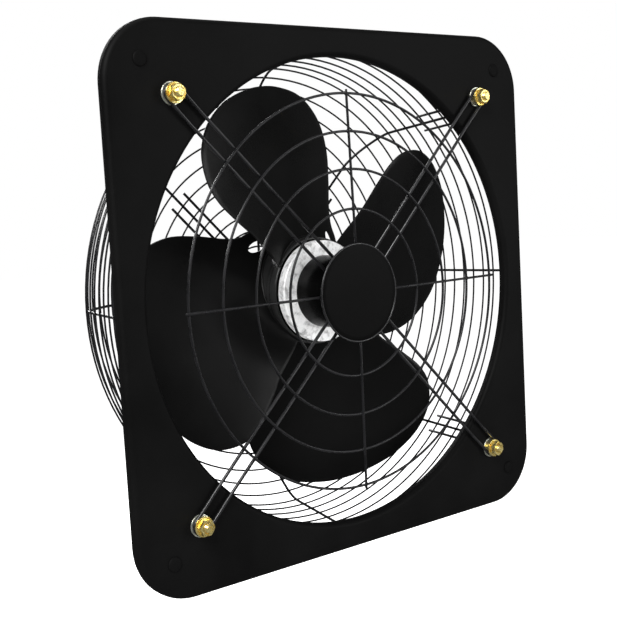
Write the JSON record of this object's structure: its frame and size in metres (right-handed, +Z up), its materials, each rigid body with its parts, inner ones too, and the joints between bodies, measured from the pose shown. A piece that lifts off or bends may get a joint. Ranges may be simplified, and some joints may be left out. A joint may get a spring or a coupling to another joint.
{
  "type": "axial exhaust fan",
  "caption": "Square-panel axial exhaust fan with a wire-hung motor, paddle blades, a front finger guard and a deep rear wire basket.",
  "frame": {"origin": "centre of the fan axis in the plane of the panel's front face", "axes": "Y along the fan axis, -Y out of the front towards the room, +Y towards the basket and the outside; +Z up; +X to the right seen from the front"},
  "size_m": [0.48, 0.1581, 0.48],
  "materials": {
    "panel_black": "satin black powder coat",
    "disc_black": "satin black powder coat",
    "wire_black": "semi-gloss black dip coat on wire",
    "yellow_zinc": "yellow zinc plate, bright",
    "clear_zinc": "clear zinc plate",
    "motor_black": "gloss black enamel",
    "lamination_steel": "bright machined laminations",
    "copper": "varnished copper wire",
    "rubber_black": "matt",
    "plug_black": "moulded black",
    "blade_black": "semi-gloss black paint",
    "bare_steel": "turned steel"
  },
  "bodies": {
    "frame": {"frame_panel": "panel_black", "hole_plug_top_right": "plug_black", "hole_plug_top_left": "plug_black", "hole_plug_bottom_left": "plug_black", "hole_plug_bottom_right": "plug_black", "front_guard": "wire_black", "guard_centre_disc": "disc_black", "motor_arm_top_right": "wire_black", "motor_arm_top_left": "wire_black", "motor_arm_bottom_left": "wire_black", "motor_arm_bottom_right": "wire_black", "bolt_top_right": "yellow_zinc", "nut_top_right": "yellow_zinc", "nut_washer_top_right": "yellow_zinc", "panel_washer_top_right": "clear_zinc", "rear_washer_top_right": "clear_zinc", "bolt_top_left": "yellow_zinc", "nut_top_left": "yellow_zinc", "nut_washer_top_left": "yellow_zinc", "panel_washer_top_left": "clear_zinc", "rear_washer_top_left": "clear_zinc", "bolt_bottom_left": "yellow_zinc", "nut_bottom_left": "yellow_zinc", "nut_washer_bottom_left": "yellow_zinc", "panel_washer_bottom_left": "clear_zinc", "rear_washer_bottom_left": "clear_zinc", "bolt_bottom_right": "yellow_zinc", "nut_bottom_right": "yellow_zinc", "nut_washer_bottom_right": "yellow_zinc", "panel_washer_bottom_right": "clear_zinc", "rear_washer_bottom_right": "clear_zinc", "rear_basket": "wire_black", "motor_plate": "disc_black", "motor_front_bell": "motor_black", "motor_rear_bell": "motor_black", "stator_core": "lamination_steel", "winding_front": "copper", "winding_rear": "copper", "bearing_front": "bare_steel", "bearing_rear": "bare_steel", "cable_gland": "rubber_black", "plate_screw_1": "clear_zinc", "plate_screw_2": "clear_zinc", "plate_screw_3": "clear_zinc", "plate_screw_4": "clear_zinc"},
    "rotor": {"motor_shaft": "bare_steel", "rotor_core": "lamination_steel", "fan_hub": "blade_black", "hub_boss": "bare_steel", "hub_set_screw": "bare_steel", "shaft_washer": "bare_steel", "shaft_nut": "bare_steel", "fan_blade_1": "blade_black", "fan_blade_2": "blade_black", "fan_blade_3": "blade_black", "fan_blade_4": "blade_black"}
  },
  "joints": [
    {"name": "fan_spin", "type": "hinge", "parent": "frame", "child": "rotor", "pos_m": [0, 0.061, 0], "axis": [0, 1, 0], "continuous": true}
  ]
}
